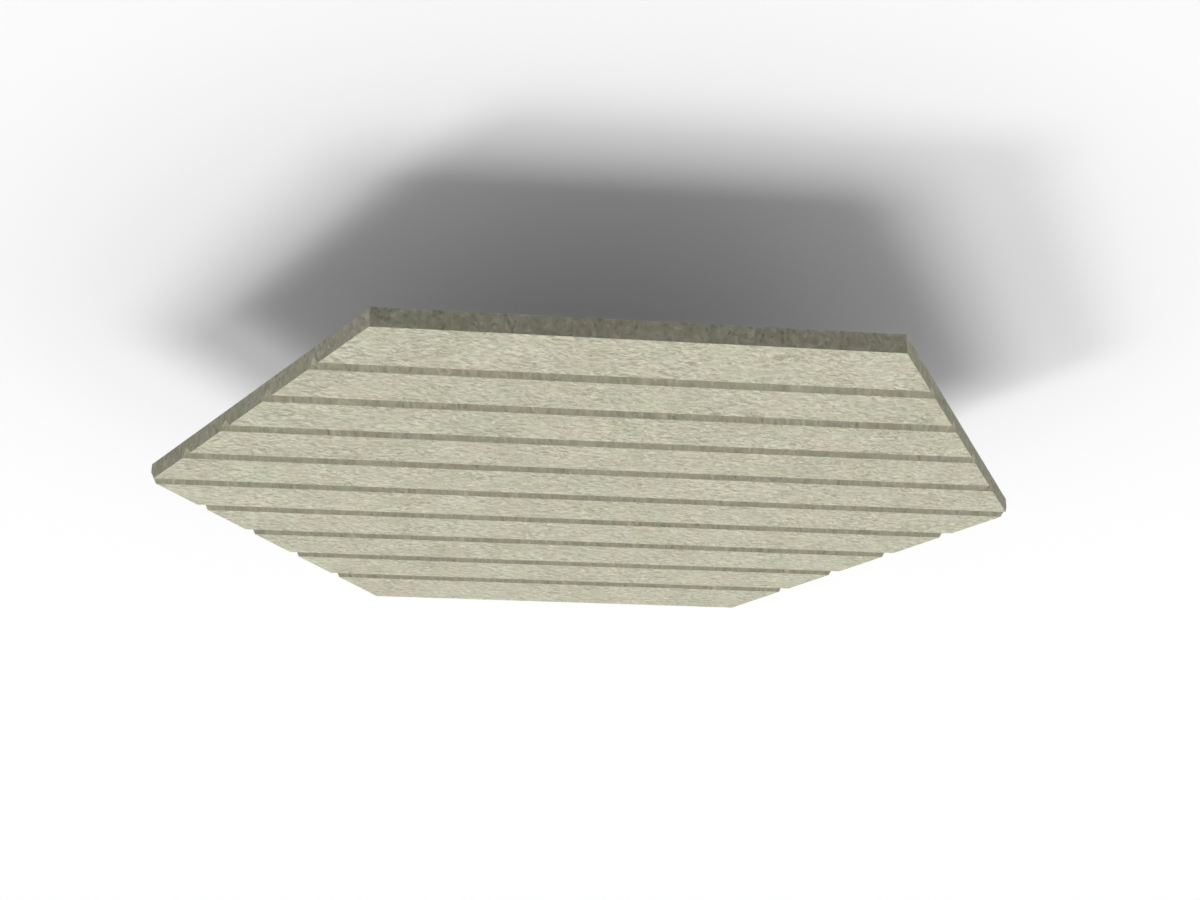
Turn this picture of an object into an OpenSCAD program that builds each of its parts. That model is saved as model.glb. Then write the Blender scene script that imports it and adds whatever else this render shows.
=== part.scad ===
// Hexagonal acoustic ceiling panel, cut from one sheet of pressed felt board.
// The face that looks down into the room is scored with straight, parallel
// V-grooves that run out through the board's edges. The back is left plain.
//
// Origin: the centre of the back face.
// +Z points up, out of the back towards the ceiling. +X runs along the grooves,
// from corner to corner, and +Y runs across them, from flat side to flat side.

/* [Board] */

// Length of one side of the hexagon, which is half the width over its corners
side_length = 600; // [300:10:1200]

// Thickness of the felt board
board_thickness = 24; // [18:1:60]

/* [Grooves] */

// Number of parallel grooves in the face
groove_count = 9; // [1:1:13]

// Width of a groove's mouth, measured on the face
groove_width = 21; // [6:1:30]

// Depth of a groove, from the face to the sharp root of the V
groove_depth = 12; // [3:0.5:16]

/* [Hidden] */

// Heathered grey-green felt
felt_colour = [0.75, 0.74, 0.66];

// The panel's width over its corners and over its flat sides
across_corners = 2 * side_length;
across_flats = across_corners * cos(30);

// The grooves share out the face evenly. A groove and the land beside it take
// up one pitch, and the land left over at each side is one whole pitch wide.
groove_pitch = (across_flats - groove_width) / (groove_count + 1);

// The cutter runs past the face and past the corners, so that it leaves no skin
cutter_overrun = 5;
cutter_length = across_corners + 2 * cutter_overrun;
cutter_half_width = groove_width / 2 * (groove_depth + cutter_overrun) / groove_depth;

// Distance from the middle of the face to the groove with the given number
function groove_y(number) = (number - (groove_count - 1) / 2) * groove_pitch;

// The blank: a regular hexagon with corners on the X axis, hung below its back
module board() {
    translate([0, 0, -board_thickness])
        linear_extrude(board_thickness)
            circle(r = side_length, $fn = 6);
}

// A groove in section, with its mouth at zero height and its root above it.
// Both walls carry straight on below the mouth, so the mouth keeps its width.
module groove_section() {
    polygon([
        [-cutter_half_width, -cutter_overrun],
        [cutter_half_width, -cutter_overrun],
        [0, groove_depth]
    ]);
}

// The section drawn out along X, as the V-shaped cutter travels over the face
module groove_cut() {
    rotate([90, 0, 90])
        linear_extrude(cutter_length, center = true)
            groove_section();
}

module felt_panel() {
    color(felt_colour)
        difference() {
            board();
            for (number = [0 : groove_count - 1])
                translate([0, groove_y(number), -board_thickness])
                    groove_cut();
        }
}

felt_panel();
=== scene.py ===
# %% [markdown]
# # A felt ceiling panel, seen from below
#
# The object is one hexagon of thick pressed felt. It hangs flat under a ceiling
# and soaks up sound, and the face that looks down is scored with straight
# V-grooves. The CAD model already holds its true shape and size. This script
# dresses it: cut edges that are not razor sharp, felt of mixed fibres, the light
# of a room, and a camera.

# %% Load the panel as a fixed frame
import math

import bmesh
import bpy
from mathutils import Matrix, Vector


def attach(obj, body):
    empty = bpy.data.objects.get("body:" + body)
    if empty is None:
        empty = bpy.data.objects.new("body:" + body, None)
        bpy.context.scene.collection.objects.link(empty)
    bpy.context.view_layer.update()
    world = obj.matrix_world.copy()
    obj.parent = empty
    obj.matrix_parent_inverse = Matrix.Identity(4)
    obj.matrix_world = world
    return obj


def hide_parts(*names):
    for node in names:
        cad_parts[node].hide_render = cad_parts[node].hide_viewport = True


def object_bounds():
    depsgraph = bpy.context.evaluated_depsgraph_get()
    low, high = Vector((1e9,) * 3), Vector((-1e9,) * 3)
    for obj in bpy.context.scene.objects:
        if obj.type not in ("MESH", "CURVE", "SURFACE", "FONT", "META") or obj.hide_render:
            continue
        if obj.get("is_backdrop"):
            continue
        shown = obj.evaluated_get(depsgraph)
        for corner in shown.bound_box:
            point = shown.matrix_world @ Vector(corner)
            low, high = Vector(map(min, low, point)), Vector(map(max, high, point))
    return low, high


MM = 0.001

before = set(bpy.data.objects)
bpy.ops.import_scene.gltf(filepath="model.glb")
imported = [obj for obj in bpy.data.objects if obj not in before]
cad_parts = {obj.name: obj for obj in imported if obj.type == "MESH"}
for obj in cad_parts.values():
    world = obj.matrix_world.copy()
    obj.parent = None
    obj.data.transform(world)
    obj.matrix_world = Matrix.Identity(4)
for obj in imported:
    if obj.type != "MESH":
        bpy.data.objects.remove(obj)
cad_low, cad_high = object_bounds()
cad_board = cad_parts["felt_panel"]
print("board in millimetres:", [round(size / MM, 1) for size in cad_high - cad_low])

# %% [markdown]
# ## The camera
#
# The panel is looked at from below and a little from one side, as from a chair in
# the room. A camera needs a place and a direction. Blender can aim one with a
# constraint, or the direction can be worked out. Here it is worked out from two
# angles, because they can be read off and changed one at a time: the heading is
# the turn from +Y towards +X, and the tilt is the climb above the horizon. The
# place is measured from the middle of the back face, in metres. The lens and its
# sensor are in millimetres, as on a real camera.

# %% Set up the camera
CAMERA_PLACE = Vector((-0.2411, -2.1720, -0.8085))
CAMERA_HEADING = math.radians(6.673)
CAMERA_TILT = math.radians(21.404)
FOCAL_LENGTH = 50
SENSOR_WIDTH = 36
FARTHEST_SEEN = 200


def direction(heading, tilt):
    """A unit vector from a heading, +Y towards +X, and a climb above the horizon."""
    level = math.cos(tilt)
    return Vector((level * math.sin(heading), level * math.cos(heading), math.sin(tilt)))


lens = bpy.data.cameras.new("camera")
lens.lens = FOCAL_LENGTH
lens.sensor_width = SENSOR_WIDTH
lens.clip_end = FARTHEST_SEEN
camera = bpy.data.objects.new("camera", lens)
bpy.context.scene.collection.objects.link(camera)
camera.location = CAMERA_PLACE
camera.rotation_mode = "QUATERNION"
aim = direction(CAMERA_HEADING, CAMERA_TILT)
camera.rotation_quaternion = aim.to_track_quat("-Z", "Y")
bpy.context.scene.camera = camera
bpy.context.scene.view_settings.view_transform = "Standard"
middle = (cad_low + cad_high) / 2
print("camera stands", round((CAMERA_PLACE - middle).length, 2), "m away")

# %% [markdown]
# ## The board, from triangles to whole faces
#
# A CAD file stores every flat face as triangles. They look right, but an edge
# can't be rounded cleanly while thin triangles meet along it. A modifier would
# keep them, and modelling the board again could leave it a different size. So
# the CAD mesh is copied, doubled points are merged, and triangles that lie in one
# plane are joined back into one face.

# %% Copy the board and join its triangles
SAME_POINT = 0.01 * MM
SAME_PLANE = math.radians(1)

shape = bmesh.new()
shape.from_mesh(cad_board.data)
triangle_count = len(shape.faces)
bmesh.ops.remove_doubles(shape, verts=shape.verts, dist=SAME_POINT)
bmesh.ops.dissolve_limit(
    shape, angle_limit=SAME_PLANE, verts=shape.verts, edges=shape.edges
)
print(triangle_count, "triangles became", len(shape.faces), "whole faces")

# %% [markdown]
# ## Which faces were cut
#
# The big faces of the board were pressed, and all the others were cut: the
# outline by a knife, the grooves by a V-shaped blade. A cut goes through the
# fibres, so those faces look different, and the felt has to know them. It could
# compare the surface normal in the shader, or each kind of face could have its
# own material. A number stored on the faces is simpler: one felt stays one
# material, and the change is exact at the edge. The grooves are the faces that
# slant, and the outline is the faces that stand upright. The groove mark also
# carries painted shade into the grooves. A third number says how far a face looks
# towards +Y, where the room light is strongest; it carries painted shade there.

# %% Mark the cut faces
NEARLY_NONE = 0.1
NEARLY_ALL = 0.9

groove_wall = shape.faces.layers.float.new("groove_wall")
outer_edge = shape.faces.layers.float.new("outer_edge")
# painted shade: this mark darkens faces that look towards +Y, where the room light is strongest
far_facing_painted_shade = shape.faces.layers.float.new("far_facing_painted_shade")
for face in shape.faces:
    face[groove_wall] = float(NEARLY_NONE < -face.normal.z < NEARLY_ALL)
    face[outer_edge] = float(abs(face.normal.z) < NEARLY_NONE)
    face[far_facing_painted_shade] = max(0.0, face.normal.y)
print("groove walls:", int(sum(face[groove_wall] for face in shape.faces)))
print("outer edges:", int(sum(face[outer_edge] for face in shape.faces)))
# the faces that get painted shade on the far side
far_painted_faces = [face for face in shape.faces if face[far_facing_painted_shade] > NEARLY_NONE]
print("cut against the nap:", len(far_painted_faces))

# %% [markdown]
# ## Soft edges
#
# A cut edge of felt is crisp but never sharp like metal, because the fibres let
# go over less than half a millimetre. That thin rounding is what catches a line
# of light along the real board. The Bevel shader node could fake it, but only in
# Cycles and not in the exported mesh, so the edges are rounded in the mesh. Only
# edges that point outwards are rounded. The root of each V stays sharp, as the
# tip of the blade leaves it.

# %% Round the outer edges
EDGE_RADIUS = 0.4 * MM
EDGE_STEPS = 3
TRUE_ARC = 0.5
SHARP_FROM = math.radians(20)

sharp_edges = [
    edge for edge in shape.edges
    if edge.is_convex and edge.calc_face_angle() > SHARP_FROM
]
print("edges to round:", len(sharp_edges))
bmesh.ops.bevel(
    shape, geom=sharp_edges, offset=EDGE_RADIUS, segments=EDGE_STEPS,
    profile=TRUE_ARC, affect="EDGES", clamp_overlap=True,
)

# %% [markdown]
# ## The dressed board in the frame
#
# The finished mesh becomes an object of its own. Smooth shading alone would bend
# the light across the big flat faces, because a corner's normal is the mean of
# all faces around it. The Weighted Normal modifier lets the largest face win, so
# the flat faces stay flat and only the thin rounding turns the light. The piece
# then stands for the CAD node, which is hidden, and rides on the panel's one
# body.

# %% Make the piece and put it in the frame
board_mesh = bpy.data.meshes.new("felt_board")
shape.to_mesh(board_mesh)
shape.free()
for face in board_mesh.polygons:
    face.use_smooth = True
board = bpy.data.objects.new("felt_board", board_mesh)
bpy.context.scene.collection.objects.link(board)
flat_faces = board.modifiers.new("keep_flat_faces_flat", "WEIGHTED_NORMAL")
flat_faces.keep_sharp = True

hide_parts("felt_panel")
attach(board, "root")
print("faces on the dressed board:", len(board_mesh.polygons))

# %% [markdown]
# ## A material written as sums
#
# A procedural material is a chain of nodes. Adding and wiring them one by one is
# long to write and hard to read. Here one small class wraps an output socket and
# takes part in Python arithmetic: adding or multiplying two wrapped sockets puts
# in the Math node that does it, or the Vector Math node where they carry a
# vector. Every other node comes from the `node` method, which sets the node's
# own choices first and fills its inputs after.

# %% A socket that takes part in sums
class Wire:
    """An output socket of a node tree that can be written in Python sums."""

    def __init__(self, tree, socket=None):
        self.tree = tree
        self.socket = socket

    def node(self, kind, settings=None, inputs=None, output=0):
        """Adds any node and returns one of its outputs."""
        made = self.tree.nodes.new(kind)
        for name, value in (settings or {}).items():
            setattr(made, name, value)
        for name, value in (inputs or {}).items():
            socket = self.find(made.inputs, name)
            if isinstance(value, Wire):
                self.tree.links.new(value.socket, socket)
            else:
                socket.default_value = value
        return Wire(self.tree, self.find(made.outputs, output) if made.outputs else None)

    @staticmethod
    def find(sockets, name):
        """A socket by its number, or the one in use that has the name."""
        if isinstance(name, int):
            return sockets[name]
        return next(socket for socket in sockets if socket.name == name and socket.enabled)

    def math(self, operation, *others):
        """A Math node, or a Vector Math node if this wire carries a vector."""
        kind = "ShaderNodeMath"
        if self.socket.type == "VECTOR":
            kind = "ShaderNodeVectorMath"
            others = [
                (value, value, value) if isinstance(value, (int, float)) else value
                for value in others
            ]
        return self.node(kind, {"operation": operation}, dict(enumerate([self, *others])))

    def __add__(self, other):
        return self.math("ADD", other)

    def __sub__(self, other):
        return self.math("SUBTRACT", other)

    def __mul__(self, other):
        return self.math("MULTIPLY", other)

    def __rsub__(self, other):
        return self * -1 + other

    __radd__ = __add__
    __rmul__ = __mul__


def new_material(name):
    """An empty node material, and a wire to start its sums from."""
    material = bpy.data.materials.new(name)
    material.use_nodes = True
    material.node_tree.nodes.clear()
    return material, Wire(material.node_tree)


felt_material, felt = new_material("heathered_felt")
board_mesh.materials.append(felt_material)
print("the felt starts with", len(felt_material.node_tree.nodes), "nodes")

# %% [markdown]
# ## Where the pattern lies
#
# The pattern follows the board's own coordinates, so it stays put in every view
# and needs no unwrapping. They are turned into millimetres first, so that every
# size below can be read as a size on the felt. The cut faces get coordinates of
# their own. The V-blade drags the fibres along, and they show as bars that run
# down the groove wall: across the groove the coordinates are squeezed to about a
# quarter, which draws each spot out into a bar. On the outer edges the felt is seen
# from the side, in larger blots that stand a little upright.

# %% Coordinates in millimetres, and how the cut faces stretch them
GROOVE_STRETCH = (1.0, 0.28, 0.28)
EDGE_STRETCH = (0.9, 0.6, 0.42)


def choose(factor, first, second, kind="VECTOR", way="MIX"):
    """Mixes two vectors or two colours, or multiplies the first colour by the second."""
    return felt.node(
        "ShaderNodeMix", {"data_type": kind, "blend_type": way, "clamp_factor": True},
        {"Factor": factor, "A": first, "B": second}, "Result",
    )


def face_mark(name):
    """The number that is stored on each face under this name."""
    return felt.node("ShaderNodeAttribute", {"attribute_name": name}, {}, "Fac")


in_groove = face_mark("groove_wall")
on_edge = face_mark("outer_edge")
stretch = choose(in_groove, (1.0, 1.0, 1.0), GROOVE_STRETCH)
stretch = choose(on_edge, stretch, EDGE_STRETCH)
place = felt.node("ShaderNodeTexCoord", output="Object")
grain = place * (1 / MM) * stretch
print("groove walls stretch the pattern by", round(1 / GROOVE_STRETCH[1], 1))

# %% [markdown]
# ## Soft spots, the raw stuff of felt
#
# Everything in the felt is made of one kind of noise: soft spots of a chosen size.
# Voronoi cells or a wave texture would show their own regular look. Two small
# helpers shape the noise. One draws it out along a direction of the face, as
# fibres lie, and the other lifts a range of its values into a crisp step. A slow
# second noise bends the coordinates, so that no fibre is quite straight.

# %% Noise, streaks and steps
NOISE_MIDDLE = 0.5
BEND_SIZE = 26
BEND_DETAIL = 1.0
BEND_REACH = 16


def spots(points, size, detail=0.0, roughness=0.5):
    """Soft noise about zero, in spots of this size in millimetres."""
    noise = felt.node(
        "ShaderNodeTexNoise", {"noise_dimensions": "3D"},
        {"Vector": points, "Scale": 1 / size, "Detail": detail, "Roughness": roughness},
        "Fac",
    )
    return noise - NOISE_MIDDLE


def streaks(points, angle, length, width, detail=0.0, aside=0.0):
    """Spots drawn out to this length along a direction, looked up this far aside."""
    turned = felt.node(
        "ShaderNodeVectorRotate", {"rotation_type": "Z_AXIS"},
        {"Vector": points, "Angle": math.radians(-angle)},
    )
    turned = turned + (0.0, aside, 0.0)
    return spots(turned * (width / length, 1.0, 1.0), width, detail)


def step(value, start, end, low=0.0, high=1.0):
    """A smooth step from low to high while the value goes from start to end."""
    return felt.node(
        "ShaderNodeMapRange", {"interpolation_type": "SMOOTHSTEP"},
        {"Value": value, "From Min": start, "From Max": end, "To Min": low, "To Max": high},
    )


wander = felt.node(
    "ShaderNodeTexNoise", {"noise_dimensions": "3D"},
    {"Vector": grain, "Scale": 1 / BEND_SIZE, "Detail": BEND_DETAIL}, "Color",
)
centred = felt.node(
    "ShaderNodeVectorMath", {"operation": "SUBTRACT"},
    {0: wander, 1: (NOISE_MIDDLE, NOISE_MIDDLE, NOISE_MIDDLE)},
)
loose = grain + centred * BEND_REACH
print("fibres wander by up to", BEND_REACH * NOISE_MIDDLE, "mm")

# %% [markdown]
# ## Tufts
#
# Close up the board shows three things: tufts, flecks and hairs. Each is a layer of
# a tone that runs from dark to pale, with its own share of it, and each starts at
# its own place in the noise, far from the others, so that no two of them match.
# Tufts are bundles of fibres, a finger nail long, that lie mostly one way because
# the web was combed before it was needled. One direction alone would look like
# brushed metal, so three of them cross at small angles. A darker gap opens beside a
# pale tuft, so a part of the same noise, looked up a few millimetres aside, is
# taken off again.

# %% Lay the tufts
TUFT_DETAIL = 1.0
TUFT_EDGE = 0.148
TUFT_TONE = 0.2
GAP_ASIDE = 7.6
GAP_DEPTH = 0.35


def tufts(angle, length, width, start, share):
    """Bundles of fibres, pale or dark, with fairly crisp sides and a gap beside them."""
    bundle = streaks(loose + start, angle, length, width, TUFT_DETAIL)
    beside = streaks(loose + start, angle, length, width, TUFT_DETAIL, GAP_ASIDE)
    both = bundle - beside * GAP_DEPTH
    return step(both, -TUFT_EDGE, TUFT_EDGE, low=-TUFT_TONE, high=TUFT_TONE) * share


combed = (
    tufts(angle=16, length=15, width=4.3, start=10, share=0.8)
    + tufts(angle=38, length=14, width=4.1, start=230, share=0.7)
    + tufts(angle=-14, length=13, width=4.1, start=560, share=0.7)
)
print("nodes with the tufts:", len(felt_material.node_tree.nodes))

# %% [markdown]
# ## Flecks and hairs
#
# Flecks are short dashes on top, as many dark as pale. Hairs are single curved
# fibres. Each could be a curve of its own, but there are thousands. A line already
# runs through any soft noise, where it passes through zero, and a second noise
# picks out short lengths of that line.

# %% Strew the flecks and the hairs
FLECK_LENGTH = 8
FLECK_WIDTH = 2.3
FLECKS_SHOW = (0.16, 0.21)
FLECK_SHARE = 0.42
HAIR_WIDTH = 0.035
HAIR_PART_START = 50
HAIR_PART_SIZE = 0.7
HAIRS_SHOW = (0.10, 0.16)


def flecks(angle, start):
    """Short dashes on top of the tufts, and nothing between them."""
    return step(streaks(loose + start, angle, FLECK_LENGTH, FLECK_WIDTH), *FLECKS_SHOW)


def hairs(size, start, share):
    """Thin curved fibres, broken into short lengths."""
    away = spots(loose + start, size).math("ABSOLUTE")
    line = step(away, 0.0, HAIR_WIDTH, low=1.0, high=0.0)
    parts = spots(loose + (start + HAIR_PART_START), size * HAIR_PART_SIZE)
    return line * step(parts, *HAIRS_SHOW) * share


on_top = (flecks(angle=10, start=710) - flecks(angle=20, start=810)) * FLECK_SHARE
pale_hairs = hairs(size=14, start=31, share=0.3) + hairs(size=11, start=77, share=0.25)
dark_hairs = hairs(size=12, start=123, share=0.25)
print("nodes with the flecks and hairs:", len(felt_material.node_tree.nodes))

# %% [markdown]
# ## An uneven web
#
# No web of fibres is even. A slow noise makes some patches of a hand's breadth calm
# and others lively, and a broader one makes them paler or darker. A very fine one
# stands for the fibres that are too small to draw one by one. None of the three is
# bent like the layers above, because nobody would see it.

# %% Put the tone together
FINE_SHARE = 0.4
BROAD_SHARE = 0.7
PATCH_EDGE = 0.14
CALM = 0.74
LIVELY = 1.14

fine = spots(grain + 900, size=2.4) * FINE_SHARE
broad = spots(grain + 300, size=60, detail=3.0, roughness=0.7) * BROAD_SHARE
patches = step(spots(grain + 600, size=45), -PATCH_EDGE, PATCH_EDGE, low=CALM, high=LIVELY)
tone = (combed + on_top + pale_hairs - dark_hairs) * patches + fine + broad
print("nodes in the felt so far:", len(felt_material.node_tree.nodes))

# %% [markdown]
# ## The colour of the fibres
#
# The board is a blend of two fibres, a warm pale one and a darker one, and the
# tone says how much of each is seen. Mixing the two colours matters: the pale
# fibre is less yellow than the dark one, so darkening one colour by shade alone
# would look painted. The cut faces show less contrast than the pressed one,
# because cut ends mix the two. Felt of recycled fibre also drifts in hue over a few
# centimetres. Two slow noises tint it, one from greenish to pinkish and one from
# straw to grey. Both tints stay within three or four parts in a hundred, which is
# as much as the eye takes for fibre and not for a stain.

# %% Fibre colours and the drift in hue
PALE_FIBRE = (0.658, 0.641, 0.504, 1)
DARK_FIBRE = (0.321, 0.308, 0.216, 1)
GREENISH = (0.971, 1.019, 0.991, 1)
PINKISH = (1.029, 0.981, 1.009, 1)
STRAW = (1.0, 1.0, 0.96, 1)
GREYISH = (1.0, 1.0, 1.04, 1)
FACE_CONTRAST = 0.925
LOST_IN_GROOVE = 0.385
LOST_ON_EDGE = 0.265
DRIFT_STRENGTH = 4
EVEN_MIX = 0.5

contrast = FACE_CONTRAST - in_groove * LOST_IN_GROOVE - on_edge * LOST_ON_EDGE
heather = choose(tone * contrast + EVEN_MIX, DARK_FIBRE, PALE_FIBRE, "RGBA")
first_drift = spots(grain + 77, size=60, detail=4.0, roughness=0.9) * DRIFT_STRENGTH
second_drift = spots(grain + 444, size=50, detail=4.0, roughness=0.9) * DRIFT_STRENGTH
first_tint = choose(first_drift + EVEN_MIX, GREENISH, PINKISH, "RGBA")
second_tint = choose(second_drift + EVEN_MIX, STRAW, GREYISH, "RGBA")
tinted = choose(1.0, heather, first_tint, "RGBA", "MULTIPLY")
tinted = choose(1.0, tinted, second_tint, "RGBA", "MULTIPLY")
print("pale fibre is", round(PALE_FIBRE[1] / DARK_FIBRE[1], 1), "times as bright as dark")

# %% [markdown]
# ## Painted shade on the groove walls and the far side
#
# The groove walls get a darker colour: painted shade in the grooves, so that
# they render darker than the light alone makes them. Every face that looks
# towards +Y, where the room light is strongest, gets more painted shade, so that
# it renders darker than that light makes it. The surface itself is very rough,
# with hardly any shine and a little sheen where the fuzz is seen edge on.
# The bump lifts the pale fibres by a fraction of a millimetre. It is kept that
# low because the felt is pressed.

# %% Finish the felt
# painted shade for the groove walls
GROOVE_PAINTED_SHADE = (0.862, 0.853, 0.844, 1)
# painted shade for faces that look towards +Y
FAR_SIDE_PAINTED_SHADE = (0.78, 0.772, 0.764, 1)
NAP_HEIGHT = 0.4 * MM
NAP_STRENGTH = 0.6
FELT_ROUGHNESS = 0.95
FELT_SHINE = 0.05
FUZZ_SHEEN = 0.1
FUZZ_ROUGHNESS = 0.6

# painted shade: the groove walls are made darker
groove_painted = choose(in_groove, tinted, GROOVE_PAINTED_SHADE, "RGBA", "MULTIPLY")
# painted shade: faces that look towards +Y are made darker
colour = choose(face_mark("far_facing_painted_shade"), groove_painted, FAR_SIDE_PAINTED_SHADE, "RGBA", "MULTIPLY")
nap = felt.node(
    "ShaderNodeBump", {}, {"Height": tone, "Distance": NAP_HEIGHT, "Strength": NAP_STRENGTH}
)
surface = felt.node(
    "ShaderNodeBsdfPrincipled", {},
    {
        "Base Color": colour, "Roughness": FELT_ROUGHNESS, "Normal": nap,
        "Specular IOR Level": FELT_SHINE,
        "Sheen Weight": FUZZ_SHEEN, "Sheen Roughness": FUZZ_ROUGHNESS,
    },
)
felt.node("ShaderNodeOutputMaterial", {}, {"Surface": surface})
print("nodes in the finished felt:", len(felt_material.node_tree.nodes))

# %% [markdown]
# ## The ceiling and the floor
#
# The panel hangs a hand's length under a white ceiling, and the soft shadow there
# shows that it floats. A plain white world would give no shadow at all. Both
# planes are stage, not part of the object. Each shows only from the side it
# faces, so the ceiling never hides the panel from above. They catch the panel's
# shadow, but they throw no shadow or light back: lamps can stand behind them, and
# the felt is lit alike in every view. The floor is half paint and half glow to the
# camera, so that it meets the white background without a line. The same test of
# the ray is used again for the world behind it all: what is looked at, straight
# or in a mirror or through glass, may be white without lighting a matt surface.

# %% Ceiling and floor
CEILING_GAP = 179 * MM
FLOOR_DROP = 1.6
STAGE_SIZE = 60
STAGE_WHITE = (0.966, 0.966, 0.966, 1)
WHITE_GLOW = 1.0


def looked_at(wire):
    """1 for the rays that show a thing to the eye, and 0 for those that light others."""
    rays = ("Is Camera Ray", "Is Glossy Ray", "Is Transmission Ray")
    return sum(wire.node("ShaderNodeLightPath", output=ray) for ray in rays)


def stage_plane(name, height, faces_up, glow_share):
    """A wide pale plane that shows only from the side it faces."""
    half = STAGE_SIZE / 2
    corners = [
        (-half, -half, height), (half, -half, height), (half, half, height), (-half, half, height)
    ]
    mesh = bpy.data.meshes.new(name)
    mesh.from_pydata(corners, [], [(0, 1, 2, 3) if faces_up else (3, 2, 1, 0)])
    plane = bpy.data.objects.new(name, mesh)
    bpy.context.scene.collection.objects.link(plane)
    plane.visible_shadow = False
    plane.visible_diffuse = False
    plane.visible_glossy = False
    plane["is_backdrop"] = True

    material, paint = new_material(name + "_paint")
    matt = paint.node("ShaderNodeBsdfDiffuse", {}, {"Color": STAGE_WHITE})
    glow = paint.node("ShaderNodeEmission", {}, {"Strength": WHITE_GLOW})
    glowing = looked_at(paint) * glow_share
    front = paint.node("ShaderNodeMixShader", {}, {0: glowing, 1: matt, 2: glow})
    clear = paint.node("ShaderNodeBsdfTransparent")
    behind = paint.node("ShaderNodeNewGeometry", output="Backfacing")
    shown = paint.node("ShaderNodeMixShader", {}, {0: behind, 1: front, 2: clear})
    paint.node("ShaderNodeOutputMaterial", {}, {"Surface": shown})
    mesh.materials.append(material)
    print(name, "at", round(height, 3), "m")


stage_plane("ceiling", cad_high.z + CEILING_GAP, faces_up=False, glow_share=0.0)
stage_plane("floor", cad_low.z - FLOOR_DROP, faces_up=True, glow_share=0.5)

# %% [markdown]
# ## The light of the room
#
# What lights the underside of a ceiling panel is mostly the room: bright walls and
# windows low around it, and a dark floor straight below. A ring of area lamps
# would do, but each would leave its own shadow edge. The world does it evenly. Its
# strength is a plain slope over directions: highest at the horizon on the far
# side, and falling to nothing well before straight down. Nothing comes from above.
# The eye is shown pure white instead, and felt, which hardly shines, takes next to
# no light from that.

# %% Light from all around, below the horizon
ROOM_SLOPE = (0.057, 0.534, 2.083)
ROOM_LEVEL = 1.874

world = bpy.data.worlds.new("room")
bpy.context.scene.world = world
world.use_nodes = True
world.node_tree.nodes.clear()
room = Wire(world.node_tree)
towards = room.node("ShaderNodeTexCoord", output="Generated")
lean = room.node(
    "ShaderNodeVectorMath", {"operation": "DOT_PRODUCT"}, {0: towards, 1: ROOM_SLOPE}, "Value"
)
upward = room.node("ShaderNodeSeparateXYZ", {}, {"Vector": towards}, "Z")
glow = (lean + ROOM_LEVEL).math("MAXIMUM", 0.0) * upward.math("LESS_THAN", 0.0)
strength = room.node(
    "ShaderNodeMix", {"data_type": "FLOAT"},
    {"Factor": looked_at(room), "A": glow, "B": WHITE_GLOW}, "Result",
)
sky = room.node("ShaderNodeBackground", {}, {"Color": (1, 1, 1, 1), "Strength": strength})
room.node("ShaderNodeOutputWorld", {}, {"Surface": sky})
print("room light at the far horizon:", round(ROOM_LEVEL + ROOM_SLOPE[1], 2))

# %% [markdown]
# ## The lamps
#
# Three distant lamps finish the light. One from nearly straight below draws the
# dark core of the shadow on the ceiling. A weaker one from the far left draws the
# paler lobe that falls to the right and nearer to the camera. The third comes from
# above and lights the back and the floor, which the room leaves dark. It leans by
# as much as it spreads, so that none of it grazes the near edges. Its light is not
# passed on either, so none of it bounces off the back of the panel onto the
# ceiling. Each lamp is set by the brightness that it gives a white level surface,
# and not in watts, so that the three can be compared.

# %% Three distant lamps
def sun(name, travel, level, spread):
    """A distant lamp. Its light travels along a vector, and spreads by this much per metre."""
    lamp = bpy.data.lights.new(name, "SUN")
    travel = Vector(travel)
    lamp.energy = math.pi * level * travel.length / abs(travel.z)
    lamp.angle = 2 * math.atan(spread)
    holder = bpy.data.objects.new(name, lamp)
    bpy.context.scene.collection.objects.link(holder)
    holder.rotation_mode = "QUATERNION"
    holder.rotation_quaternion = travel.to_track_quat("-Z", "Y")
    print(name, "strength", round(lamp.energy, 2))
    return lamp


sun("lamp_below", travel=(-0.034, -0.164, 1), level=0.349, spread=0.4)
sun("lamp_far_left", travel=(0.643, -0.702, 1), level=0.172, spread=0.155)
lamp_above = sun("lamp_above", travel=(0, -0.07, -1), level=1.12, spread=0.07)
lamp_above.cycles.max_bounces = 0

# %% [markdown]
# ## The size at the end
#
# The dressed board must keep the CAD size.

# %% Compare the sizes and finish
seen_low, seen_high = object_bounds()
pairs = zip([*cad_low, *cad_high], [*seen_low, *seen_high])
growth = max(abs(seen - cad) for cad, seen in pairs)
print("the dressed board differs from the CAD box by", round(growth / MM, 3), "mm at most")
